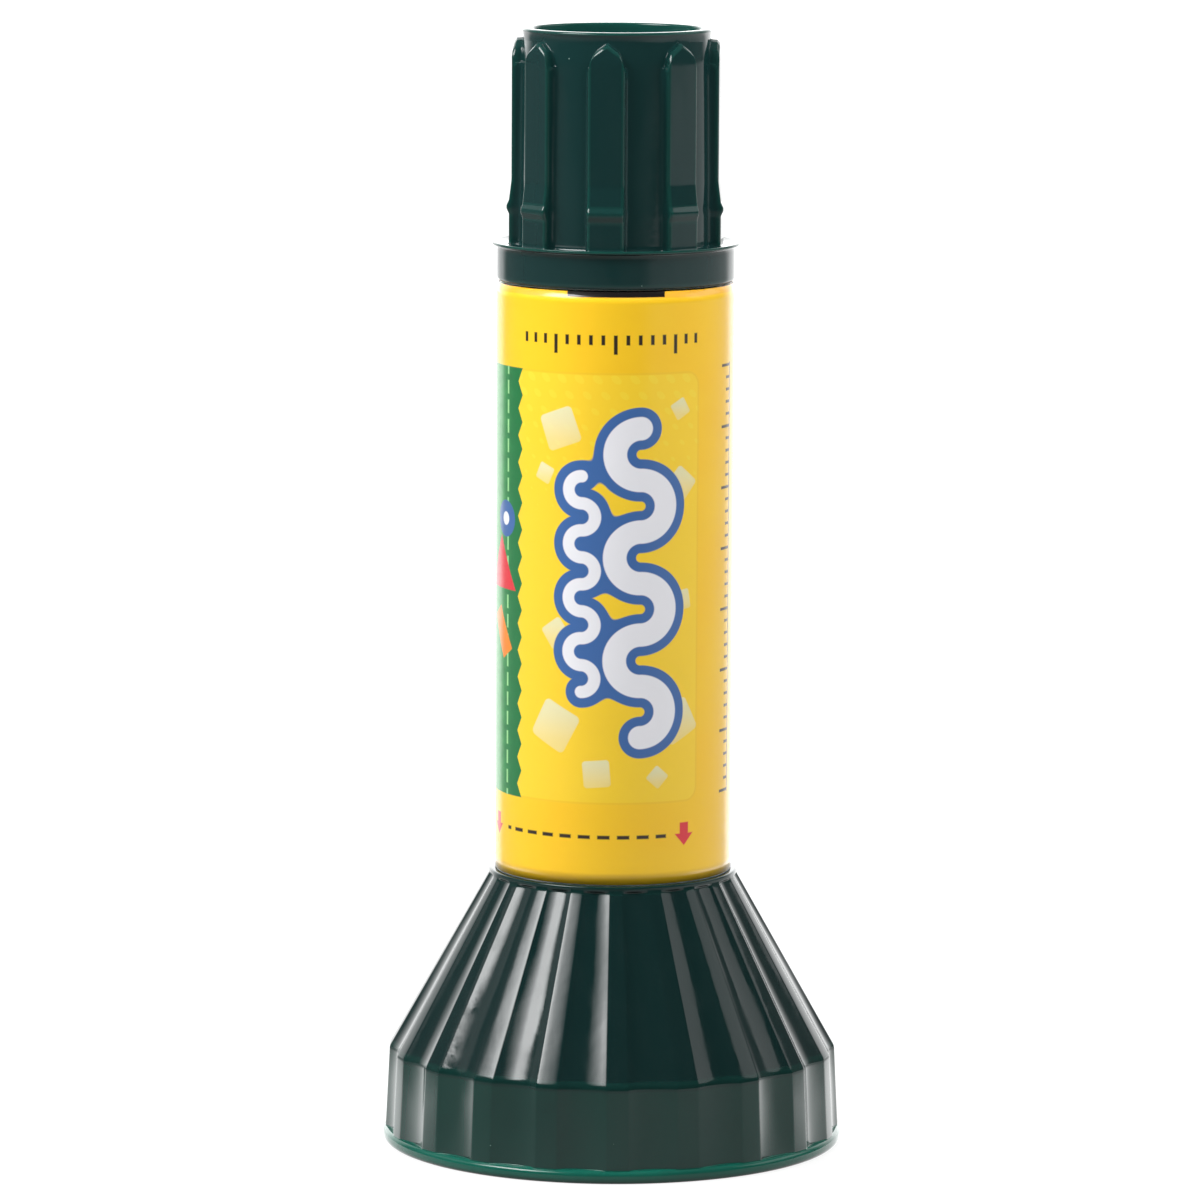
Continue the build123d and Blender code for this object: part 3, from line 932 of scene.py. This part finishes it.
    side_u, side_ends = 12.2, (29.8, 65.2)
    ticks = scale(u, v, (-8.2, 7.2), 67.9, 0.15, 0.75, 0.75)
    side = scale(v, u, side_ends, side_u, 0.12, 0.85, 0.8)
    base = between(u, side_u - 0.1, side_u + 0.05).both(between(v, *side_ends))
    colour = finish.ink(colour, ink_dark, dash.either(ticks).either(side).either(base))

    # Back panel
    around = 2 * pi * barrel_radius / mm
    back_half_u, back_half_v = 7.25, 16.25
    back_u = (u + around) % around - 26.75
    back_v = v - 47.25
    back = between(back_u, -back_half_u, back_half_u).both(between(back_v, -back_half_v, back_half_v))
    colour = finish.ink(colour, panel_yellow, back * 0.8)
    flower_step, flower_radius, petal_dip, eye_radius = 4.6, 1.15, 0.35, 0.4
    row = (back_v / flower_step).math("ROUND")
    row_shift = row % 2 * (flower_step / 2)
    middle_u = ((back_u - row_shift) / flower_step).math("ROUND") * flower_step + row_shift
    petal_u, petal_v = abs(back_u - middle_u), abs(back_v - row * flower_step)
    whole = abs(middle_u).math("LESS_THAN", 1.2 * flower_step).both(abs(row).math("LESS_THAN", 3.5))
    turn = petal_u.math("ARCTAN2", petal_v)
    from_eye = length(petal_u, petal_v)
    flower = from_eye - flower_radius + abs((turn * 2).math("COSINE")) * -petal_dip
    colour = finish.ink(colour, ink_pale, inside(flower).both(whole) * 0.8)
    colour = finish.ink(colour, ink_red, inside(from_eye - eye_radius).both(whole))

    # Cut edge at the tail, darkened to orange as painted shade, with a black register mark
    colour = finish.ink(colour, tail_shade_orange, v.rise(tail_v - 0.15, tail_v) * 0.5)
    mark = between(u, -4.0, 4.0, 0.02).both(v.rise(tail_v - 0.02, tail_v + 0.02))
    finish.set("Base Color", finish.ink(colour, ink_black, mark))

    grain = finish.noise(film_grain, 3)
    finish.set("Roughness", grain.rise(0.3, 0.7, 0.32, 0.42))
    finish.bump(finish.noise(film_ripple, 2, stretch=3) * 2 + grain * 0.2, satin_depth)
    return finish.material


# The cap and knob share one plastic; their two greens are shaded and lit copies of it
make_cap(green_plastic("cap_plastic", cap_shaded_green))
make_knob(green_plastic("knob_plastic", knob_lit_green))
make_label(label_print())
make_glue(glue_paste())
kept_solids = {
    "barrel": white_plastic("barrel_plastic", natural_white, 0.28),
    "lead_screw": white_plastic("screw_plastic", natural_white, 0.32),
    "carrier": white_plastic("carrier_plastic", natural_white, 0.35),
}
for node, material in kept_solids.items():
    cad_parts[node].data.materials.clear()
    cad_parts[node].data.materials.append(material)

# Floor: white to the camera, with the object's shadow kept. In reflections it is dim in front of
# the object and glows behind it, to its right and close round its back.
floor_front = -0.75
floor_back = 2.6
floor_half_width = 2.2
floor_z = -0.02 * mm
beside_near, beside_far = 40 * mm, 75 * mm
beside_start, beside_full = -20 * mm, 5 * mm
right_reach, right_blur = 150 * mm, 50 * mm
shade_near, shade_far = 60 * mm, 400 * mm
corners = [(-floor_half_width, floor_front, floor_z), (floor_half_width, floor_front, floor_z),
           (floor_half_width, floor_back, floor_z), (-floor_half_width, floor_back, floor_z)]
floor_mesh = bpy.data.meshes.new("floor")
floor_mesh.from_pydata(corners, [], [(0, 1, 2, 3)])
floor = bpy.data.objects.new("floor", floor_mesh)
bpy.context.scene.collection.objects.link(floor)
sheet = Finish("floor", Roughness=0.7, Specular_IOR_Level=0.2)
sheet.set("Base Color", (0.13, 0.13, 0.13, 1))
seen = sheet.add("ShaderNodeLightPath", output="Is Camera Ray")
mirrored = sheet.add("ShaderNodeLightPath", output="Is Glossy Ray")
floor_x, floor_y, _ = sheet.axes()
away = (floor_x * floor_x + floor_y * floor_y).math("SQRT")
beside = away.rise(beside_far, beside_near).both(floor_y.rise(beside_start, beside_full))
behind = ((floor_y - abs(floor_x) * 1.2) / away).rise(-0.25, 0.15)
right = (floor_x + floor_y * 0.6).rise(-right_reach, right_reach)
right = right.both(floor_x.rise(-right_blur, right_blur))
glow = behind.either(beside * 1.4) + right * 0.45 + 0.15
sheet.set("Emission Color", (1, 1, 1, 1))
paleness = away.rise(shade_near, shade_far, 0.86, 0.98)
sheet.set("Emission Strength", seen * paleness + mirrored * glow)
floor_mesh.materials.append(sheet.material)

# World: white to the camera; to the object a dark room with a bright wall behind
room_strength = 2.7
world = bpy.data.worlds.new("studio")
world.use_nodes = True
bpy.context.scene.world = world
tree = world.node_tree
plain = tree.nodes["Background"]
plain.inputs["Color"].default_value = (1, 1, 1, 1)
direction = tree.nodes.new("ShaderNodeTexCoord")
split = tree.nodes.new("ShaderNodeSeparateXYZ")
tree.links.new(direction.outputs["Generated"], split.inputs[0])
towards_back = tree.nodes.new("ShaderNodeMapRange")
tree.links.new(split.outputs["Y"], towards_back.inputs["Value"])
towards_back.inputs["From Min"].default_value = -1
ramp = tree.nodes.new("ShaderNodeValToRGB")
tree.links.new(towards_back.outputs[0], ramp.inputs[0])


def set_ramp(ramp, shares):
    """Gives a colour ramp a grey level at each place along it."""
    while len(ramp.color_ramp.elements) > 1:
        ramp.color_ramp.elements.remove(ramp.color_ramp.elements[0])
    for number, (place, level) in enumerate(shares):
        element = ramp.color_ramp.elements[0] if number == 0 else ramp.color_ramp.elements.new(place)
        element.position = place
        element.color = (level, level, level, 1)


room_shares = ((0.0, 0.02), (0.38, 0.02), (0.5, 0.06), (0.8, 0.06), (0.9, 0.55), (0.95, 0.95), (1.0, 1.0))
set_ramp(ramp, room_shares)
room = tree.nodes.new("ShaderNodeBackground")
tree.links.new(ramp.outputs[0], room.inputs["Color"])
room.inputs["Strength"].default_value = room_strength
path = tree.nodes.new("ShaderNodeLightPath")
choice = tree.nodes.new("ShaderNodeMixShader")
tree.links.new(path.outputs["Is Camera Ray"], choice.inputs[0])
tree.links.new(room.outputs[0], choice.inputs[1])
tree.links.new(plain.outputs[0], choice.inputs[2])
tree.links.new(choice.outputs[0], tree.nodes["World Output"].inputs["Surface"])


def softbox(name, azimuth, elevation, distance, size, radiance, shares=((0, 1),), glossy=True):
    """A soft lamp at an angle from the front and above the horizon, turned to the object.

    The size is its width and height. The shares are its brightness at places across its width, from
    0 at its left end, as the object sees it, to 1 at its right.
    """
    lamp = bpy.data.lights.new(name, "AREA")
    lamp.shape = "RECTANGLE"
    lamp.size, lamp.size_y = size
    lamp.energy = radiance * pi * size[0] * size[1]
    lamp.use_nodes = True
    nodes, links = lamp.node_tree.nodes, lamp.node_tree.links
    place = nodes.new("ShaderNodeNewGeometry")
    split = nodes.new("ShaderNodeSeparateXYZ")
    ramp = nodes.new("ShaderNodeValToRGB")
    links.new(place.outputs["Parametric"], split.inputs[0])
    links.new(split.outputs["X"], ramp.inputs[0])
    links.new(ramp.outputs[0], nodes["Emission"].inputs["Color"])
    set_ramp(ramp, shares)
    box = bpy.data.objects.new(name, lamp)
    bpy.context.scene.collection.objects.link(box)
    turn, lift = radians(azimuth), radians(elevation)
    towards = Vector((sin(turn) * cos(lift), -cos(turn) * cos(lift), sin(lift)))
    box.location = lamp_target + distance * towards
    box.rotation_euler = towards.to_track_quat("Z", "Y").to_euler()
    box.visible_camera = False
    box.visible_glossy = glossy


lamp_target = Vector((0, 0, 45 * mm))
key_shares = ((0.0, 0.0), (0.12, 0.0), (0.24, 0.6), (0.34, 1.0), (0.62, 1.0), (0.7, 0.5),
              (0.8, 0.18), (0.9, 0.0))
softbox("key_softbox", -60, 44, 0.6, (0.63, 0.24), 12.0, key_shares)
softbox("front_fill", 22, 49, 0.28, (0.2, 0.2), 3.9, glossy=False)
softbox("left_fill", -85, 40, 0.5, (0.3, 0.3), 7.2, glossy=False)
softbox("right_fill", 85, 40, 0.5, (0.3, 0.3), 4.8, glossy=False)
softbox("right_card", 104, 32, 0.8, (0.65, 0.3), 1.0)
softbox("left_card", -103, 32, 0.8, (0.5, 0.25), 0.45)

# Camera, at the photograph's angle
camera_distance = 0.585
camera_height = 0.12585
camera_aside = -0.00117
camera_pitch = radians(7.88)
camera_roll = radians(0.29)
focal_length = 215.6            # for a sensor 36 wide, both in millimetres as a lens takes them
lens = bpy.data.cameras.new("camera")
lens.lens = focal_length
lens.sensor_width = 36
lens.clip_start = 10 * mm
camera = bpy.data.objects.new("camera", lens)
bpy.context.scene.collection.objects.link(camera)
camera.matrix_world = (
    Matrix.Translation((camera_aside, -camera_distance, camera_height))
    @ Matrix.Rotation(pi / 2 - camera_pitch, 4, "X")
    @ Matrix.Rotation(camera_roll, 4, "Z")
)
bpy.context.scene.camera = camera
bpy.context.scene.view_settings.view_transform = "Standard"
